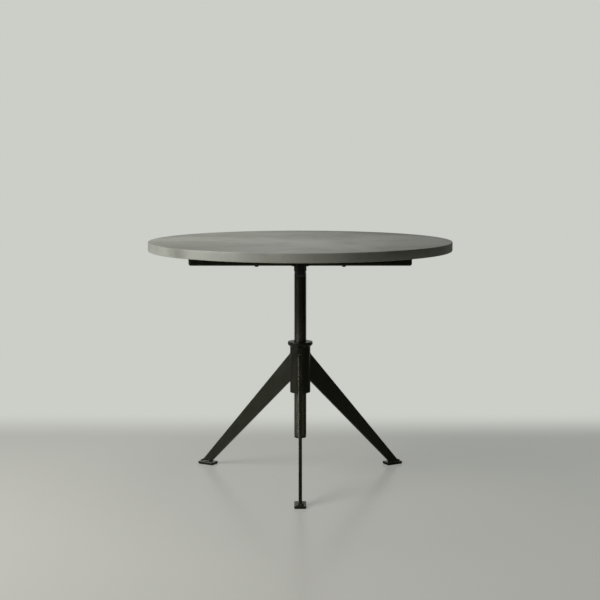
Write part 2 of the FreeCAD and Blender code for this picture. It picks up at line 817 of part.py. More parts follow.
def make_hub_tube():
    """The tube that holds nut and bush, bevelled at its foot and drilled for the grubs."""
    inside = "Sizes.hub_bore / 2"
    outside = "Sizes.hub_diameter / 2"
    body = turned(
        "hub_tube",
        [
            (inside, "0"),
            (f"{outside} - Sizes.hub_bevel", "0"),
            (outside, "Sizes.hub_bevel"),
            (outside, HUB_LENGTH),
            (inside, HUB_LENGTH),
        ],
    )
    drill = new_sketch(body, "XZ_Plane")
    draw_circle(drill, GRUB_HOLE, "0", f"{GRUB_HEIGHT} - {HUB_FOOT}")
    repeat_round(body, LEG_COUNT, cut_alone=pocket(body, drill))
    return place(body, HUB_FOOT)


def make_guide_bush():
    """A nylon ring in the hub's foot, which the screw's crest slides through."""
    bore = "(Sizes.screw_diameter / 2 + Sizes.bush_play)"
    body = turned(
        "guide_bush",
        [
            (f"{bore} + Sizes.bush_bevel", "0"),
            (IN_HUB, "0"),
            (IN_HUB, "Sizes.bush_length"),
            (f"{bore} + Sizes.bush_bevel", "Sizes.bush_length"),
            (bore, "Sizes.bush_length - Sizes.bush_bevel"),
            (bore, "Sizes.bush_bevel"),
        ],
    )
    return place(body, HUB_FOOT)


def make_grub_screws():
    """Three grub screws through the hub into the nut, one midway between each two legs."""
    body = new_body("nut_grub_screws")
    outline = new_sketch(body, "XZ_Plane", f"-{GRUB_FACE}")
    draw_circle(outline, "Sizes.grub_diameter", "0", GRUB_HEIGHT)
    pad(body, outline, "Sizes.grub_length")
    socket = new_sketch(body, "XZ_Plane", f"-{GRUB_FACE}")
    draw_hexagon(socket, "Sizes.grub_socket", "0", GRUB_HEIGHT)
    pocket(body, socket, "Sizes.grub_socket_depth", forward=True)
    repeat_round(body, LEG_COUNT)
    return place(body)


# ---------------------------------------------------------------- legs and feet

def make_leg(side, angle):
    """A tapered plate on edge, its root cut to the hub's curve."""
    body = new_body(f"leg_{side}")
    outline = new_sketch(body, "XZ_Plane")
    root = "(Sizes.hub_diameter / 2 - Sizes.leg_cope)"
    draw_outline(
        outline,
        [
            (root, LEG_ARMPIT),
            ("Sizes.hub_diameter / 2", LEG_ARMPIT),
            (LEG_HEEL, PLATE_TOP),
            ("Sizes.leg_toe_reach", PLATE_TOP),
            ("Sizes.hub_diameter / 2", LEG_SHOULDER),
            (root, LEG_SHOULDER),
        ],
    )
    pad(body, outline, "Sizes.leg_thickness", midplane=True)
    round_edges(body, "Sizes.leg_edge", sloping)
    cope = new_sketch(body, "XY_Plane")
    draw_circle(cope, "Sizes.hub_diameter + 2 * Sizes.fixed_gap")
    pocket(body, cope, forward=True)
    return place(body, yaw=angle)


def make_foot_plate(side, angle):
    """A flat plate under the leg's foot."""
    body = new_body(f"foot_plate_{side}")
    outline = new_sketch(body, "XY_Plane")
    draw_rectangle(outline, *plate_sides("0"))
    pad(body, outline, "Sizes.plate_thickness")
    round_edges(body, "Sizes.plate_corner", along_z)
    face = size("plate_thickness")
    round_edges(body, "Sizes.plate_edge", lambda edge: near(edge.CenterOfMass.z, face))
    return place(body, "Sizes.glide_thickness", angle)


def plate_sides(inset):
    """The foot plate's four sides, drawn in by an inset."""
    outer = "Sizes.leg_toe_reach + Sizes.plate_toe"
    half_width = f"(Sizes.plate_width / 2 - {inset})"
    return (
        f"{outer} - Sizes.plate_length + {inset}",
        f"{outer} - {inset}",
        f"-{half_width}",
        half_width,
    )


def make_floor_glides():
    """Rubber sheets under the foot plates."""
    body = new_body("floor_glides")
    outline = new_sketch(body, "XY_Plane")
    draw_rectangle(outline, *plate_sides("Sizes.glide_inset"))
    pad(body, outline, "Sizes.glide_thickness")
    round_edges(body, "Sizes.plate_corner - Sizes.glide_inset", along_z)
    repeat_round(body, LEG_COUNT)
    return place(body, yaw=LEGS["front"])


def make_hub_welds():
    """Beads along both sides of each leg's root. Their inner face follows the hub."""
    body = new_body("hub_weld_beads")
    section = new_sketch(body, "XY_Plane")
    side = "(Sizes.leg_thickness / 2 + Sizes.fixed_gap / 2)"
    inner = "(Sizes.hub_diameter / 2 - Sizes.hub_weld)"
    outer = "(Sizes.hub_diameter / 2 + Sizes.hub_weld)"
    for sign in ("", "-"):
        draw_outline(
            section,
            [
                (inner, f"{sign}{side}"),
                (outer, f"{sign}{side}"),
                (inner, f"{sign}({side} + {outer} - {inner})"),
            ],
        )
    pad(body, section, f"{LEG_SHOULDER} - {LEG_ARMPIT}")
    hub = new_sketch(body, "XY_Plane")
    draw_circle(hub, "Sizes.hub_diameter + Sizes.fixed_gap")
    pocket(body, hub, forward=True)
    repeat_round(body, LEG_COUNT)
    return place(body, LEG_ARMPIT, LEGS["front"])


def make_foot_welds():
    """A bead round each leg's foot: down both sides and across the toe."""
    body = new_body("foot_weld_beads")
    seat = f"({PLATE_TOP} + Sizes.fixed_gap / 2)"
    half_leg = "(Sizes.leg_thickness / 2 + Sizes.fixed_gap / 2)"
    toe = f"(Sizes.leg_toe_reach - Sizes.foot_weld_height * {LEG_RUN})"
    wide = f"({half_leg} + Sizes.foot_weld)"
    narrow = f"({half_leg} + Sizes.foot_weld_crest)"
    lower = new_sketch(body, "XY_Plane", seat)
    draw_rectangle(
        lower,
        LEG_HEEL,
        "Sizes.leg_toe_reach + Sizes.foot_weld",
        f"-{wide}",
        wide,
    )
    upper = new_sketch(body, "XY_Plane", f"{seat} + Sizes.foot_weld_height")
    draw_rectangle(upper, LEG_HEEL, f"{toe} + Sizes.foot_weld_crest", f"-{narrow}", narrow)
    loft = body.newObject("PartDesign::AdditiveLoft", "Loft")
    loft.Profile = lower
    loft.Sections = [upper]
    loft.Ruled = True
    checked(loft, 0.0, 1)
    leg = new_sketch(body, "XZ_Plane")
    above = f"({seat} + 2 * Sizes.foot_weld_height)"
    behind = f"({LEG_HEEL} - Sizes.leg_thickness)"
    draw_outline(
        leg,
        [
            (behind, "0"),
            (f"Sizes.leg_toe_reach + Sizes.fixed_gap + {PLATE_TOP} * {LEG_RUN}", "0"),
            (
                "Sizes.leg_toe_reach + Sizes.fixed_gap"
                f" - ({above} - {PLATE_TOP}) * {LEG_RUN}",
                above,
            ),
            (behind, above),
        ],
    )
    before = volume_of(body)
    slot = body.newObject("PartDesign::Pocket", "LegSlot")
    slot.Profile = leg
    slot.setExpression("Length", f"2 * {half_leg}")
    slot.Midplane = True
    checked(slot, before, -1)
    repeat_round(body, LEG_COUNT)
    return place(body, yaw=LEGS["front"])


# ---------------------------------------------------------------- the whole table

subparts = [
    make_tabletop(),
    make_inserts(),
    make_bolt_pads(),
    make_end_pads(),
    make_centre_block(),
    make_arm_welds(),
    make_top_bolts(),
    make_drive_key(),
    make_retaining_washer(),
    make_retaining_screw(),
    make_stop_washer(),
    make_stop_screw(),
    make_hub_tube(),
    make_guide_bush(),
    make_grub_screws(),
    make_floor_glides(),
    make_hub_welds(),
    make_foot_welds(),
]
for side, angle in ARMS.items():
    subparts.append(make_arm(side, angle))
    subparts.append(make_arm_cap(side, angle))
for side, angle in LEGS.items():
    subparts.append(make_leg(side, angle))
    subparts.append(make_foot_plate(side, angle))
subparts.append(make_lift_nut())
subparts.append(make_lift_screw())
document.recompute()

for item in document.Objects:
    if "Invalid" in item.State or "Error" in item.State:
        raise RuntimeError(f"{item.Label} failed: {item.State}")
for part in subparts:
    if part.Shape.isNull() or not part.Shape.isValid() or not part.Shape.Solids:
        raise RuntimeError(f"{part.Label} has no sound shape")

os.makedirs("parts", exist_ok=True)
for part in subparts:
    part.Shape.exportStep(f"parts/{part.Label}.step")
print(f"{len(subparts)} sub-parts written")
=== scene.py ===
import math

import bmesh
import bpy
from mathutils import Matrix, Vector, noise


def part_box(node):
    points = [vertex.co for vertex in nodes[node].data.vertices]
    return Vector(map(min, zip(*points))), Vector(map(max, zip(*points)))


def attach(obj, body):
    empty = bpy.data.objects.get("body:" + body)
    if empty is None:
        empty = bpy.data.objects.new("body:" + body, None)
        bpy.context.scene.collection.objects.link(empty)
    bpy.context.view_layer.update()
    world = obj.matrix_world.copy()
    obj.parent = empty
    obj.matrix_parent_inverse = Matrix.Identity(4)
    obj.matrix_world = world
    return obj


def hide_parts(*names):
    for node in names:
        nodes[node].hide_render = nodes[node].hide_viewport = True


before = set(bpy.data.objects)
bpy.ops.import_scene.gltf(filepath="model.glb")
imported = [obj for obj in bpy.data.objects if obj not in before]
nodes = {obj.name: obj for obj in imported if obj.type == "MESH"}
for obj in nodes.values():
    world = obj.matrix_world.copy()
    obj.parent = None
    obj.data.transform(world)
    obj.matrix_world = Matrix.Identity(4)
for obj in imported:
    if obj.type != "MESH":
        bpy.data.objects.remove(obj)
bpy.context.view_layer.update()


# ------------------------------------------------------------------ the stone top
# A disc of honed grey stone, 42 inches across and 32 mm thick, with a paler sawn rim. Its
# upper edge is eased by hand and its lower edge has a small bevel. It lies loose on rubber
# pads and is held from below by four bolts in brass inserts.

ARRIS = 0.0022
ARRIS_FACETS = 5
UNDER_BEVEL = 0.0035
UNDER_FACETS = 2
RIM_SEGMENTS = 360
HAND_WAVER = 0.0007  # how unevenly the upper edge is rubbed down
WAVER_LENGTH = 0.045
SLACK = 0.01  # the share of the arris by which a vertex may miss its line
SAME_PLACE = 1e-5

STONE_PALE = (152, 153, 145)
STONE_DARK = (126, 128, 120)
# the colour of stains, pits and the dark patch, and of the painted shade on the upper face
STONE_STAIN_AND_SHADE = (112, 112, 103)
STONE_RUST = (143, 136, 122)
STONE_SAWN = (196, 197, 186)
STONE_SHEEN = 0.42
STONE_DRIFT = 0.4  # the cloudy banks are pulled about over this length
STONE_BANK = 0.21  # the breadth of a cloudy bank, and of what lies in and over the banks
STONE_PATCH = 0.055
STONE_STREAK = 0.09
STONE_RUST_SPOT = 0.13
STONE_GRAIN = 0.0016
STONE_PIT = 0.0042
PIT_DEPTH = 0.00022
DARK_PATCH_AT = (-0.41, -0.355, 0.835)  # a dark patch runs over the edge here
DARK_PATCH_REACH = 0.085
DARK_PATCH_SPREAD = 0.06  # how much further it reaches on the upper face
PAINTED_SHADE_REACH = (0.05, 0.48)  # painted shade on the upper face round the patch fades out between these
RIM_HEIGHTS = (0.812, 0.852)  # the sawn rim is paler low down and greyer towards the second


class Wire:
    """One output of a shader node. Plus, minus and times on wires add Math nodes."""

    def __init__(self, tree, output):
        self.tree = tree
        self.output = output

    def node(self, kind, settings=(), inputs=(), output=0):
        """Adds a node of any kind: first its settings, then a value or a wire per socket."""
        node = self.tree.nodes.new(f"ShaderNode{kind}")
        for name, value in dict(settings).items():
            setattr(node, name, value)
        for name, value in dict(inputs).items():
            if isinstance(value, Wire):
                self.tree.links.new(value.output, node.inputs[name])
            else:
                node.inputs[name].default_value = value
        return Wire(self.tree, node.outputs[output])

    def maths(self, operation, first, second):
        return self.node("Math", {"operation": operation}, {0: first, 1: second})

    def __add__(self, other):
        return self.maths("ADD", self, other)

    def __sub__(self, other):
        return self.maths("SUBTRACT", self, other)

    def __rsub__(self, other):
        return self.maths("SUBTRACT", other, self)

    def __mul__(self, other):
        return self.maths("MULTIPLY", self, other)

    __radd__ = __add__
    __rmul__ = __mul__

    def into(self, shader, socket):
        self.tree.links.new(self.output, shader.inputs[socket])


def new_material(name, constants):
    """A material, its shader with the sockets that stay constant, and where on the piece."""
    material = bpy.data.materials.new(name)
    material.use_nodes = True
    shader = material.node_tree.nodes["Principled BSDF"]
    for socket, value in constants.items():
        shader.inputs[socket].default_value = value
    place = material.node_tree.nodes.new("ShaderNodeTexCoord")
    return material, shader, Wire(material.node_tree, place.outputs["Object"])


def chart(red, green, blue):
    """A colour from a paint chart, 0 to 255, as the shader takes it."""
    def linear(value):
        share = value / 255
        return share / 12.92 if share <= 0.04045 else ((share + 0.055) / 1.055) ** 2.4
    return (linear(red), linear(green), linear(blue), 1.0)


def clouds(at, blotch, detail=4.0):
    """Soft blotches from 0 to 1, each about that many metres across."""
    return at.node("TexNoise", (), {"Vector": at, "Scale": 1 / blotch, "Detail": detail})


def stretched(at, along_x, along_y, along_z):
    """The same place on a rubber sheet, so that a pattern comes out drawn longer."""
    scale = (1 / along_x, 1 / along_y, 1 / along_z)
    return at.node("Mapping", (), {"Vector": at, "Scale": scale})


def between(value, low, high):
    """0 below low, 1 above high, and a smooth step from one to the other."""
    settings = {"interpolation_type": "SMOOTHSTEP"}
    return value.node("MapRange", settings, {"Value": value, "From Min": low, "From Max": high})


def mixed(share, first, second):
    """The first colour where the share is 0 and the second where it is 1."""
    colours = {0: share, 6: first, 7: second}  # the node's sockets 6 and 7 take colours
    return share.node("Mix", {"data_type": "RGBA"}, colours, 2)


def relief(height, depth, normal=None):
    """A surface whose dents and ridges are up to depth metres deep."""
    inputs = {"Height": height, "Distance": depth}
    if normal is not None:
        inputs["Normal"] = normal
    return height.node("Bump", (), inputs)


def honed_stone():
    material, shader, at = new_material("honed_stone", {"Specular IOR Level": STONE_SHEEN})
    drift = clouds(at, STONE_DRIFT) * 0.2
    drifted = at.node("VectorMath", {"operation": "ADD"}, {0: at, 1: drift})
    banks = between(clouds(drifted, STONE_BANK, 6.0), 0.36, 0.66)
    patches = between(clouds(drifted, STONE_PATCH, 5.0), 0.5, 0.72)
    along = stretched(drifted, 1.4, 0.6, 0.6)
    stains = between(clouds(along, STONE_STREAK, 6.0), 0.58, 0.76)
    rust = between(clouds(at, STONE_RUST_SPOT, 3.0), 0.58, 0.78)
    grain = clouds(at, STONE_GRAIN, 2.0)
    pits = between(clouds(at, STONE_PIT, 1.0), 0.68, 0.76)
    body = mixed(banks * 0.62 + patches * 0.3, chart(*STONE_PALE), chart(*STONE_DARK))
    stained = mixed(stains * 0.55, body, chart(*STONE_STAIN_AND_SHADE))
    warmed = mixed(rust * 0.35, stained, chart(*STONE_RUST))
    facing = at.node("NewGeometry", (), (), "True Normal")
    upward = facing.node("SeparateXYZ", (), {0: facing}, "Z")
    height = at.node("SeparateXYZ", (), {0: at}, "Z")
    low_down = 1 - between(height, *RIM_HEIGHTS)
    rim = 1 - between(upward, 0.1, 0.8)
    sawn = mixed(rim * (0.04 + low_down * 0.27), warmed, chart(*STONE_SAWN))
    offset = at.node("VectorMath", {"operation": "DISTANCE"}, {0: at, 1: DARK_PATCH_AT}, "Value")
    # a dark patch over the edge round the given point
    dark_patch = 1 - between(offset + patches * 0.02 - upward * DARK_PATCH_SPREAD, 0.0, DARK_PATCH_REACH)
    # painted shade: the upper face is darkened round the dark patch
    painted_shade = (1 - between(offset + banks * 0.05, *PAINTED_SHADE_REACH)) * between(upward, 0.8, 1.0)
    darkened = mixed(painted_shade * 0.85, sawn, chart(*STONE_STAIN_AND_SHADE))
    with_dark_patch = mixed(dark_patch * 0.75, darkened, chart(*STONE_STAIN_AND_SHADE))
    speckled = mixed(between(grain, 0.3, 0.75) * 0.22, with_dark_patch, chart(*STONE_DARK))
    mixed(pits * 0.5, speckled, chart(*STONE_STAIN_AND_SHADE)).into(shader, "Base Color")
    (0.46 + banks * 0.1 + pits * 0.2 - stains * 0.08).into(shader, "Roughness")
    relief(grain * 0.3 - pits, PIT_DEPTH).into(shader, "Normal")
    return material


def make_piece(name, shape, body, material, sharp=40):
    """Turns a finished bmesh into a piece of the table that moves with a body."""
    bmesh.ops.recalc_face_normals(shape, faces=shape.faces)
    mesh = bpy.data.meshes.new(name)
    shape.to_mesh(mesh)
    shape.free()
    mesh.shade_smooth()
    mesh.set_sharp_from_angle(angle=math.radians(sharp))
    mesh.materials.append(material)
    piece = bpy.data.objects.new(name, mesh)
    bpy.context.scene.collection.objects.link(piece)
    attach(piece, body)
    return piece


def bevelled(shape, edges, width, segments):
    """Takes a width off each of the given edges, in that many facets."""
    bmesh.ops.bevel(
        shape,
        geom=edges,
        offset=width,
        affect="EDGES",
        segments=segments,
        profile=0.5,
        material=-1,
    )


def near(first, second):
    return abs(first - second) < SAME_PLACE


def make_stone_top():
    low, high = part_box("tabletop")
    middle = Vector((0, 0, (low.z + high.z) / 2))
    reach = min(high.x, high.y, -low.x, -low.y)
    disc = bmesh.new()
    bmesh.ops.create_cone(
        disc,
        cap_ends=True,
        segments=RIM_SEGMENTS,
        radius1=reach,
        radius2=reach,
        depth=high.z - low.z,
        matrix=Matrix.Translation(middle),
    )
    upper = [edge for edge in disc.edges if all(v.co.z > middle.z for v in edge.verts)]
    bevelled(disc, upper, ARRIS, ARRIS_FACETS)
    lower = [edge for edge in disc.edges if all(near(v.co.z, low.z) for v in edge.verts)]
    bevelled(disc, lower, UNDER_BEVEL, UNDER_FACETS)
    for vert in disc.verts:
        eased = vert.co.z > high.z - ARRIS * (1 + SLACK)
        if eased and vert.co.xy.length > reach - ARRIS * (1 - SLACK):
            rubbed = max(0.0, noise.noise(vert.co / WAVER_LENGTH)) * HAND_WAVER
            vert.co.z -= rubbed * (vert.co.z - high.z + ARRIS) / ARRIS
    top = make_piece("stone_top", disc, "top", honed_stone(), sharp=30)
    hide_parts("tabletop")


make_stone_top()


# ------------------------------------------------------------------ inserts and pads
# Turned brass sleeves are glued into the stone for the bolts. Rubber rings round the bolts
# and rubber discs near the arm ends keep the steel off the stone. The glides under the feet
# are of the same rubber.

BRASS = (190, 150, 84)
BRASS_DULL = (140, 108, 60)
RUBBER = (27, 27, 26)
RUBBER_DUSTY = (44, 43, 41)
RUBBER_PEBBLE = 0.0009
LATHE_RING = 0.0006
RING_DEPTH = 0.00003
MOULDED_SHEEN = 0.35


def turned_metal(name, bright, dull, roughness):
    """Bare metal off the lathe: fine rings round the Z axis and a little tarnish."""
    material, shader, at = new_material(name, {"Metallic": 1.0})
    rings = clouds(stretched(at, 8, 8, 1), LATHE_RING, 1.0)
    tarnish = between(clouds(at, 0.006, 3.0), 0.4, 0.7)
    mixed(tarnish, chart(*bright), chart(*dull)).into(shader, "Base Color")
    (roughness + tarnish * 0.15).into(shader, "Roughness")
    relief(rings, RING_DEPTH).into(shader, "Normal")
    return material


def moulded(name, fresh, dusty, roughness, pebble):
    """Rubber or plastic out of a mould: an even fine texture and a trace of dust."""
    material, shader, at = new_material(name, {"Specular IOR Level": MOULDED_SHEEN})
    dust = between(clouds(at, 0.03, 4.0), 0.45, 0.75)
    mixed(dust * 0.6, chart(*fresh), chart(*dusty)).into(shader, "Base Color")
    (roughness + dust * 0.1).into(shader, "Roughness")
    relief(clouds(at, pebble, 1.0), pebble * 0.06).into(shader, "Normal")
    return material


def finish(material, *names):
    """Gives nodes that keep their own shape their finish."""
    for name in names:
        nodes[name].material_slots[0].material = material


finish(turned_metal("insert_brass", BRASS, BRASS_DULL, 0.32), "threaded_inserts")
finish(
    moulded("black_rubber", RUBBER, RUBBER_DUSTY, 0.78, RUBBER_PEBBLE),
    "bolt_pads",
    "end_pads",
    "floor_glides",
)


# ------------------------------------------------------------------ the cross
# Four lengths of rectangular steel tube, welded on edge to a square block and sprayed satin
# black. Each has a moulded plastic cap with rounded edges pushed into its end.

STEEL_DEEP = (18, 18, 10)
STEEL_LIT = (27, 27, 17)
STEEL_RUBBED = (58, 56, 47)
STEEL_GLOSS = {"Specular IOR Level": 0.5, "Specular Tint": (0.93, 1.0, 0.84, 1.0)}
SPRAY_BANK = 0.06
SPRAY_GRAIN = 0.0011
SPRAY_DEPTH = 0.00006
EDGE_WIDTH = 0.0009  # how wide the paint is rubbed thin along an edge
EDGE_SAMPLES = 6
# pale dust on the foot plates' tops, which also stands in for a painted highlight
DUST_AND_HIGHLIGHT = (124, 118, 108)
CAP_PLASTIC = (22, 22, 21)
CAP_DUSTY = (36, 36, 34)
CAP_PEBBLE = 0.0007


def rounded(at, width):
    """The surface's normal as if its edges were rounded, and where those edges are."""
    soft = at.node("Bevel", {"samples": EDGE_SAMPLES}, {"Radius": width})
    hard = at.node("NewGeometry", (), (), "True Normal")
    facing = at.node("VectorMath", {"operation": "DOT_PRODUCT"}, {0: soft, 1: hard}, "Value")
    return soft, 1 - between(facing, 0.8, 0.985)


def black_steel(name, roughness=0.25, drawn=(1, 1, 1), dust=0.0):
    """Satin black over steel: faint clouds, a fine grain, rubbed edges, and dust with a painted
    highlight on top.
    """
    material, shader, at = new_material(name, STEEL_GLOSS)
    banks = between(clouds(at, SPRAY_BANK, 5.0), 0.35, 0.7)
    grain = clouds(stretched(at, *drawn), SPRAY_GRAIN, 2.0)
    soft, edge = rounded(at, EDGE_WIDTH)
    worn = edge * between(clouds(at, 0.012, 3.0), 0.3, 0.65)
    body = mixed(banks, chart(*STEEL_DEEP), chart(*STEEL_LIT))
    rubbed = mixed(worn * 0.6, body, chart(*STEEL_RUBBED))
    facing = at.node("NewGeometry", (), (), "True Normal")
    upward = facing.node("SeparateXYZ", (), {0: facing}, "Z")
    # dust on upward faces, which is also a painted highlight on the foot plates' tops
    dusty = between(upward, 0.5, 1.0) * (0.7 + banks * 0.3) * dust
    mixed(dusty, rubbed, chart(*DUST_AND_HIGHLIGHT)).into(shader, "Base Color")
    (roughness + banks * 0.1 - worn * 0.08).into(shader, "Roughness")
    relief(grain + banks * 0.5, SPRAY_DEPTH, soft).into(shader, "Normal")
    return material


SIDES = ("right", "left", "front", "back")
satin_black = black_steel("satin_black_steel")
finish(satin_black, "centre_block", *[f"arm_{side}" for side in SIDES])
finish(
    moulded("cap_plastic", CAP_PLASTIC, CAP_DUSTY, 0.46, CAP_PEBBLE),
    *[f"arm_cap_{side}" for side in SIDES],
)


# ------------------------------------------------------------------ bolts and small screws
# Button-head bolts, countersunk screws, grub screws and the stop washer are black-oxide
# steel, lightly oiled. The key and the upper washer are bare turned steel.

OXIDE = (24, 24, 25)
OXIDE_WORN = (66, 65, 64)
BARE = (168, 168, 165)
BARE_DULL = (116, 115, 112)
BOLT_EDGE = 0.0005
OXIDE_BLOTCH = 0.004
OXIDE_GRAIN = 0.0006
OXIDE_DEPTH = 0.00002


def black_oxide():
    material, shader, at = new_material("black_oxide", {"Metallic": 0.55})
    soft, edge = rounded(at, BOLT_EDGE)
    blotches = between(clouds(at, OXIDE_BLOTCH, 4.0), 0.4, 0.7)
    body = mixed(blotches * 0.35 + edge * 0.5, chart(*OXIDE), chart(*OXIDE_WORN))
    body.into(shader, "Base Color")
    (0.34 + blotches * 0.14).into(shader, "Roughness")
    relief(clouds(at, OXIDE_GRAIN, 2.0), OXIDE_DEPTH, soft).into(shader, "Normal")
    return material


finish(
    black_oxide(),
    "top_bolts",
    "retaining_screw",
    "stop_screw",
    "stop_washer",
    "nut_grub_screws",
)
finish(turned_metal("bare_steel", BARE, BARE_DULL, 0.3), "drive_key", "retaining_washer")


# ------------------------------------------------------------------ the lifting screw
# A bar with a trapezoidal thread cut on it, blackened and kept oiled. Its crest is rubbed
# smooth by the nut, and old oil stays dark at the foot of the thread. Its lower length is worn
# bare and also painted paler, as lit below the top's shade.

SCREW_BLACK = (72, 71, 63)
SCREW_GREY_AND_LIT = (109, 108, 96)
SCREW_CREST = (138, 136, 126)
SCREW_OIL = (38, 37, 31)
SCREW_GLANCE = (0.3, 0.3, 0.28, 1.0)  # oil dulls the steel where it is seen at a slant
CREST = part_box("lift_screw")[1].x
THREAD_DEPTH = 0.0024
ROOT = CREST - THREAD_DEPTH
CREST_BAND = (CREST - 0.0006, CREST - 0.0001)  # the rubbed crest begins between these
OIL_BAND = (ROOT + 0.0002, ROOT + 0.0016)  # and the old oil ends between these
BARE_AND_LIT_TO_BLACK = (0.4, 0.62)  # the length below, which the nut runs over, is worn bare and painted paler as lit
TOOTH_EDGE = 0.0006
OIL_SMEAR = 0.012
TOOL_MARK = 0.0008
TOOL_DEPTH = 0.00004


def oiled_screw():
    constants = {"Metallic": 0.85, "Specular IOR Level": 0.45, "Specular Tint": SCREW_GLANCE}
    material, shader, at = new_material("oiled_screw", constants)
    across = at.node("VectorMath", {"operation": "MULTIPLY"}, {0: at, 1: (1, 1, 0)})
    reach = at.node("VectorMath", {"operation": "LENGTH"}, {0: across}, "Value")
    soft, edge = rounded(at, TOOTH_EDGE)
    crest = between(reach, *CREST_BAND)
    oil = 1 - between(reach, *OIL_BAND)
    smears = between(clouds(stretched(at, 1, 1, 3), OIL_SMEAR, 4.0), 0.35, 0.7)
    tool_marks = clouds(stretched(at, 12, 12, 1), TOOL_MARK, 1.0)
    polished = crest * (0.35 + smears * 0.5) + edge * 0.3
    height = at.node("SeparateXYZ", (), {0: at}, "Z")
    # worn bare below and painted paler there as lit; the upper length keeps the top's shade
    bare_and_lit = 1 - between(height, *BARE_AND_LIT_TO_BLACK)
    ground = mixed(bare_and_lit, chart(*SCREW_BLACK), chart(*SCREW_GREY_AND_LIT))
    body = mixed(polished * bare_and_lit * 0.6, ground, chart(*SCREW_CREST))
    mixed(oil * 0.4, body, chart(*SCREW_OIL)).into(shader, "Base Color")
    (0.37 - polished * 0.1 - oil * 0.06 + smears * 0.06).into(shader, "Roughness")
    relief(tool_marks, TOOL_DEPTH, soft).into(shader, "Normal")
    return material


finish(oiled_screw(), "lift_screw")


# ------------------------------------------------------------------ nut, hub and bush
# The nut is turned from bar with a flange that sits on the tube, and both are sprayed satin
# black after assembly. The bush in the hub's foot is dark oil-filled nylon.

NYLON = (58, 57, 54)
NYLON_WORN = (80, 78, 73)
NYLON_PEBBLE = 0.0012
ROUND_THE_AXIS = (10, 10, 1)  # turning and spraying draw the grain into rings

turned_black = black_steel("turned_black_steel", 0.24, ROUND_THE_AXIS)
finish(turned_black, "lift_nut", "hub_tube")
finish(moulded("bush_nylon", NYLON, NYLON_WORN, 0.5, NYLON_PEBBLE), "guide_bush")


# ------------------------------------------------------------------ legs and feet
# Three tapered legs cut from 12 mm plate stand on edge round the hub, each on a flat plate.
# The cut edges keep the fine lines of the torch across their thickness. A painted highlight
# runs along one long edge of the front leg, and the foot plates carry dust with a painted
# highlight on top.

LEG_TURNS = {"front": -90, "right": 30, "left": 150}
LEG_HALF = 0.006
LEG_ARRIS = 0.0028  # how far the legs' edges are ground over
LEG_SHEEN = STEEL_GLOSS | {"Specular IOR Level": 0.62}
LEG_BANK = 0.07
SCALE_MARK = 0.009
CUT_LINE = 0.0016
CUT_DEPTH = 0.00007
LEG_EDGE_HIGHLIGHT = {"front": 1.0, "right": 0.1, "left": 0.1}  # how strong a painted highlight along one long edge is
HIGHLIGHT_BREAKUP = 0.03
LEG_HIGHLIGHT = (206, 204, 190)
FOOT_DUST_AND_HIGHLIGHT = {"front": 0.45, "right": 0.3, "left": 1.0}  # how much dust and painted highlight each foot plate's top carries


def cut_plate(side, turn):
    """Black plate whose cut edges are scored across, for a leg at that turn of the hub."""
    material, shader, at = new_material(f"leg_plate_{side}", LEG_SHEEN)
    in_line = at.node("Mapping", (), {"Vector": at, "Rotation": (0, 0, -math.radians(turn))})
    banks = between(clouds(in_line, LEG_BANK, 5.0), 0.35, 0.68)
    scale_marks = between(clouds(stretched(in_line, 3, 1, 3), SCALE_MARK, 4.0), 0.55, 0.75)
    lines = clouds(stretched(in_line, 1, 14, 1), CUT_LINE, 2.0)
    soft, edge = rounded(at, LEG_ARRIS)
    worn = edge * between(clouds(in_line, 0.015, 3.0), 0.2, 0.5)
    body = mixed(banks, chart(*STEEL_DEEP), chart(*STEEL_LIT))
    flecked = mixed(scale_marks * 0.3, body, chart(*STEEL_DEEP))
    rubbed = mixed(worn * 0.6, flecked, chart(*STEEL_RUBBED))
    across = in_line.node("SeparateXYZ", (), {0: in_line}, "Y")
    # a painted highlight along one long edge of the leg, strongest on the front leg
    highlit_edge = edge * (1 - between(across, -LEG_HALF, LEG_HALF)) * LEG_EDGE_HIGHLIGHT[side]
    painted_highlight = highlit_edge * (0.55 + between(clouds(in_line, HIGHLIGHT_BREAKUP, 3.0), 0.3, 0.6) * 0.4)
    mixed(painted_highlight, rubbed, chart(*LEG_HIGHLIGHT)).into(shader, "Base Color")
    (0.27 + banks * 0.1 - scale_marks * 0.06).into(shader, "Roughness")
    relief(lines * 0.6 + banks * 0.4, CUT_DEPTH, soft).into(shader, "Normal")
    return material


for side, turn in LEG_TURNS.items():
    finish(cut_plate(side, turn), f"leg_{side}")
    finish(black_steel(f"foot_steel_{side}", dust=FOOT_DUST_AND_HIGHLIGHT[side]), f"foot_plate_{side}")


# ------------------------------------------------------------------ weld beads
# Beads laid by hand along both sides of each leg's root, round each foot and down the
# corners of the cross. Each is a row of overlapping ripples under the same black.

RIPPLE = 0.0034
RIPPLE_SWELL = (1.0, 1.05, 1.07, 1.03)
BEAD_SIDES = 14
WELD_GREY = (52, 51, 43)
WELD_SOOT = (30, 29, 22)
CRESCENT = 0.35  # how far a ripple's middle runs ahead of its sides, as a share of its reach
END_TAPER = 0.45
BEAD_WOBBLE = 0.0001
BITE = 0.0002  # how far a bead's middle line lies inside the plates that it joins
LEG_FOOT = 0.038
ARM_HALF = 0.015
HUB_BEAD = 0.0047
FOOT_BEAD = 0.0056
ARM_BEAD = 0.0038
ARM_BEAD_INSET = 0.001  # how much shorter at each end the cross's beads are than their solids


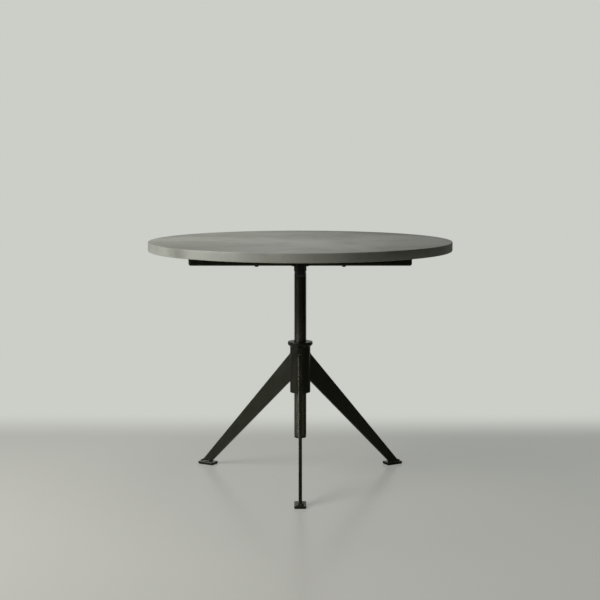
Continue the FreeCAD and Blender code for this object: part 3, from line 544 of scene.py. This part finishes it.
def lay_bead(shape, start, finish_at, reach):
    """One rippled bead between two points, swelling and thinning like stacked coins."""
    run = Vector(finish_at) - Vector(start)
    steps = max(2, round(run.length / RIPPLE)) * len(RIPPLE_SWELL)
    made = bmesh.ops.create_circle(shape, cap_ends=True, segments=BEAD_SIDES, radius=reach)
    bead = list(made["verts"])
    rim = list({edge for vert in bead for edge in vert.link_edges})
    bmesh.ops.scale(shape, vec=(END_TAPER, END_TAPER, 1), verts=bead)
    size_now = END_TAPER
    for step in range(1, steps + 1):
        grown = bmesh.ops.extrude_edge_only(shape, edges=rim)["geom"]
        ring = [item for item in grown if isinstance(item, bmesh.types.BMVert)]
        rim = [item for item in grown if isinstance(item, bmesh.types.BMEdge)]
        swell = RIPPLE_SWELL[step % len(RIPPLE_SWELL)] / max(RIPPLE_SWELL)
        size_next = END_TAPER if step == steps else swell
        bmesh.ops.translate(shape, vec=(0, 0, run.length / steps), verts=ring)
        bmesh.ops.scale(shape, vec=(size_next / size_now, size_next / size_now, 1), verts=ring)
        size_now = size_next
        bead += ring
    bmesh.ops.contextual_create(shape, geom=rim)
    for vert in bead:
        wobble = noise.noise((vert.co + Vector(start)) / RIPPLE) * BEAD_WOBBLE
        vert.co.z += CRESCENT * (reach - vert.co.xy.length) + wobble
    turn = Vector((0, 0, 1)).rotation_difference(run).to_matrix().to_4x4()
    bmesh.ops.transform(shape, matrix=Matrix.Translation(start) @ turn, verts=bead)


def weld_metal():
    material, shader, at = new_material("weld_metal", {"Specular IOR Level": 0.45})
    soot = between(clouds(at, 0.008, 4.0), 0.4, 0.7)
    mixed(soot, chart(*WELD_GREY), chart(*WELD_SOOT)).into(shader, "Base Color")
    (0.2 + soot * 0.14).into(shader, "Roughness")
    relief(clouds(at, 0.0008, 3.0), 0.00004).into(shader, "Normal")
    return material


def weld_round(name, node, body, turns, runs, reach):
    """Lays the same runs at each turn round the screw's axis, in place of a node's beads."""
    beads = bmesh.new()
    for turn in turns:
        back = Matrix.Rotation(math.radians(-turn), 3, "Z")
        bmesh.ops.rotate(beads, matrix=back, verts=beads.verts)
        for start, finish_at in runs:
            lay_bead(beads, start, finish_at, reach)
        bmesh.ops.rotate(beads, matrix=back.inverted(), verts=beads.verts)
    piece = make_piece(name, beads, body, black_weld, sharp=60)
    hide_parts(node)


black_weld = weld_metal()

low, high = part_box("hub_weld_beads")
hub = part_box("hub_tube")[1].x - BITE
side_line = LEG_HALF + BITE
ends = (low.z + HUB_BEAD / 2, high.z - HUB_BEAD / 2)
hub_runs = [
    [(hub, side * side_line, height) for height in ends]
    for side in (1, -1)
]
weld_round("hub_weld_ripples", "hub_weld_beads", "base", LEG_TURNS.values(), hub_runs, HUB_BEAD)

toe = -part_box("leg_front")[0].y
heel = toe - LEG_FOOT
plate_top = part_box("foot_plate_front")[1].z
foot_runs = [
    ((heel, side_line, plate_top), (toe, side_line, plate_top)),
    ((heel, -side_line, plate_top), (toe, -side_line, plate_top)),
    ((toe + BITE, -side_line, plate_top), (toe + BITE, side_line, plate_top)),
]
weld_round("foot_weld_ripples", "foot_weld_beads", "base", LEG_TURNS.values(), foot_runs, FOOT_BEAD)

low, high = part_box("arm_weld_beads")
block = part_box("centre_block")[1].x
ends = (low.z + ARM_BEAD_INSET, high.z - ARM_BEAD_INSET)
arm_runs = [
    [(block, side * ARM_HALF, height) for height in ends]
    for side in (1, -1)
]
weld_round("arm_weld_ripples", "arm_weld_beads", "top", (0, 90, 180, 270), arm_runs, ARM_BEAD)


# ------------------------------------------------------------------ camera, floor and light
# A pale studio floor with a faint gloss fades into a pale backdrop. One large soft lamp
# stands on the left and a faint one hangs overhead. The camera stands a little above the
# table's top, at a seated eye's height.

CAMERA_AT = (-0.0008, -4.753, 1.203)
CAMERA_TILT = 6.76
CAMERA_LENS = 81.15
WINDOW_AT = (-2.2, -1.3, 1.85)
WINDOW_AIM = (0, 0, 0.6)
WINDOW_SIZE = (1.8, 1.7)
WINDOW_POWER = 75
OVERHEAD_AT = (-0.25, 0.1, 1.75)
OVERHEAD_AIM = (-0.25, 0.1, 0)
OVERHEAD_SIZE = (0.6, 0.6)
OVERHEAD_POWER = 5
FLOOR = (186, 184, 174)
FLOOR_ROUGHNESS = 0.22
FLOOR_SHEEN = 0.5
BACKDROP = (204, 206, 200)
FLOOR_SIZE = 60.0
FLOOR_LIFT = 0.4  # how far the whole floor is lightened towards the backdrop
BEHIND = (0.6, 1.15)  # the floor fades into the backdrop between these places behind the table
ROUND = (1.7, 4.0)  # and between these distances everywhere
ROOM_SHADE = 0.13  # how brightly the room lights the table
NEAR_WALL = 0.05  # how bright the room is in the table's gloss
FAR_WALL = 0.6  # and how much brighter its far wall is there

camera = bpy.data.objects.new("camera", bpy.data.cameras.new("camera"))
bpy.context.scene.collection.objects.link(camera)
camera.location = CAMERA_AT
camera.rotation_euler = (math.radians(90 - CAMERA_TILT), 0, 0)
camera.data.lens = CAMERA_LENS
camera.data.sensor_width = 36
bpy.context.scene.camera = camera
bpy.context.scene.view_settings.view_transform = "Standard"


def make_floor():
    """A flat sheet that keeps the table's shadow and turns into the backdrop further off."""
    sheet = bmesh.new()
    bmesh.ops.create_grid(sheet, x_segments=1, y_segments=1, size=FLOOR_SIZE / 2)
    mesh = bpy.data.meshes.new("floor")
    sheet.to_mesh(mesh)
    sheet.free()
    floor = bpy.data.objects.new("floor", mesh)
    bpy.context.scene.collection.objects.link(floor)
    constants = {"Roughness": FLOOR_ROUGHNESS, "Specular IOR Level": FLOOR_SHEEN}
    material, shader, at = new_material("floor", constants | {"Base Color": chart(*FLOOR)})
    away = at.node("VectorMath", {"operation": "LENGTH"}, {0: at}, "Value")
    back = at.node("SeparateXYZ", (), {0: at}, "Y")
    faded = away.maths("MAXIMUM", between(back, *BEHIND), between(away, *ROUND))
    seen = at.node("LightPath", (), (), "Is Camera Ray")
    share = (faded * (1 - FLOOR_LIFT) + FLOOR_LIFT) * seen
    glow = at.node("Emission", (), {"Color": chart(*BACKDROP), "Strength": 1.0})
    lit = Wire(at.tree, shader.outputs["BSDF"])
    both = at.node("MixShader", (), {0: share, 1: lit, 2: glow})
    both.into(at.tree.nodes["Material Output"], "Surface")
    mesh.materials.append(material)


def make_lamp(name, at, aim, size, power):
    """A soft rectangular lamp that lights the table and isn't seen itself."""
    lamp = bpy.data.objects.new(name, bpy.data.lights.new(name, "AREA"))
    lamp.data.shape = "RECTANGLE"
    lamp.data.size, lamp.data.size_y = size
    lamp.data.energy = power
    lamp.location = at
    lamp.visible_camera = False
    lamp.rotation_euler = (Vector(aim) - Vector(at)).to_track_quat("-Z", "Y").to_euler()
    bpy.context.scene.collection.objects.link(lamp)


def make_room():
    """The backdrop as the camera sees it, and a dimmer room for light and reflections."""
    world = bpy.data.worlds.new("studio")
    bpy.context.scene.world = world
    world.use_nodes = True
    background = world.node_tree.nodes["Background"]
    background.inputs["Color"].default_value = chart(*BACKDROP)
    place = world.node_tree.nodes.new("ShaderNodeTexCoord")
    towards = Wire(world.node_tree, place.outputs["Generated"])
    seen = towards.node("LightPath", (), (), "Is Camera Ray")
    mirrored = towards.node("LightPath", (), (), "Is Glossy Ray")
    back = towards.node("SeparateXYZ", (), {0: towards}, "Y")
    walls = between(back, 0.3, 0.9) * FAR_WALL + NEAR_WALL
    shaded = (1 - mirrored) * ROOM_SHADE + mirrored * walls
    (shaded * (1 - seen) + seen).into(background, "Strength")


make_floor()
make_lamp("window", WINDOW_AT, WINDOW_AIM, WINDOW_SIZE, WINDOW_POWER)
make_lamp("overhead", OVERHEAD_AT, OVERHEAD_AIM, OVERHEAD_SIZE, OVERHEAD_POWER)
make_room()
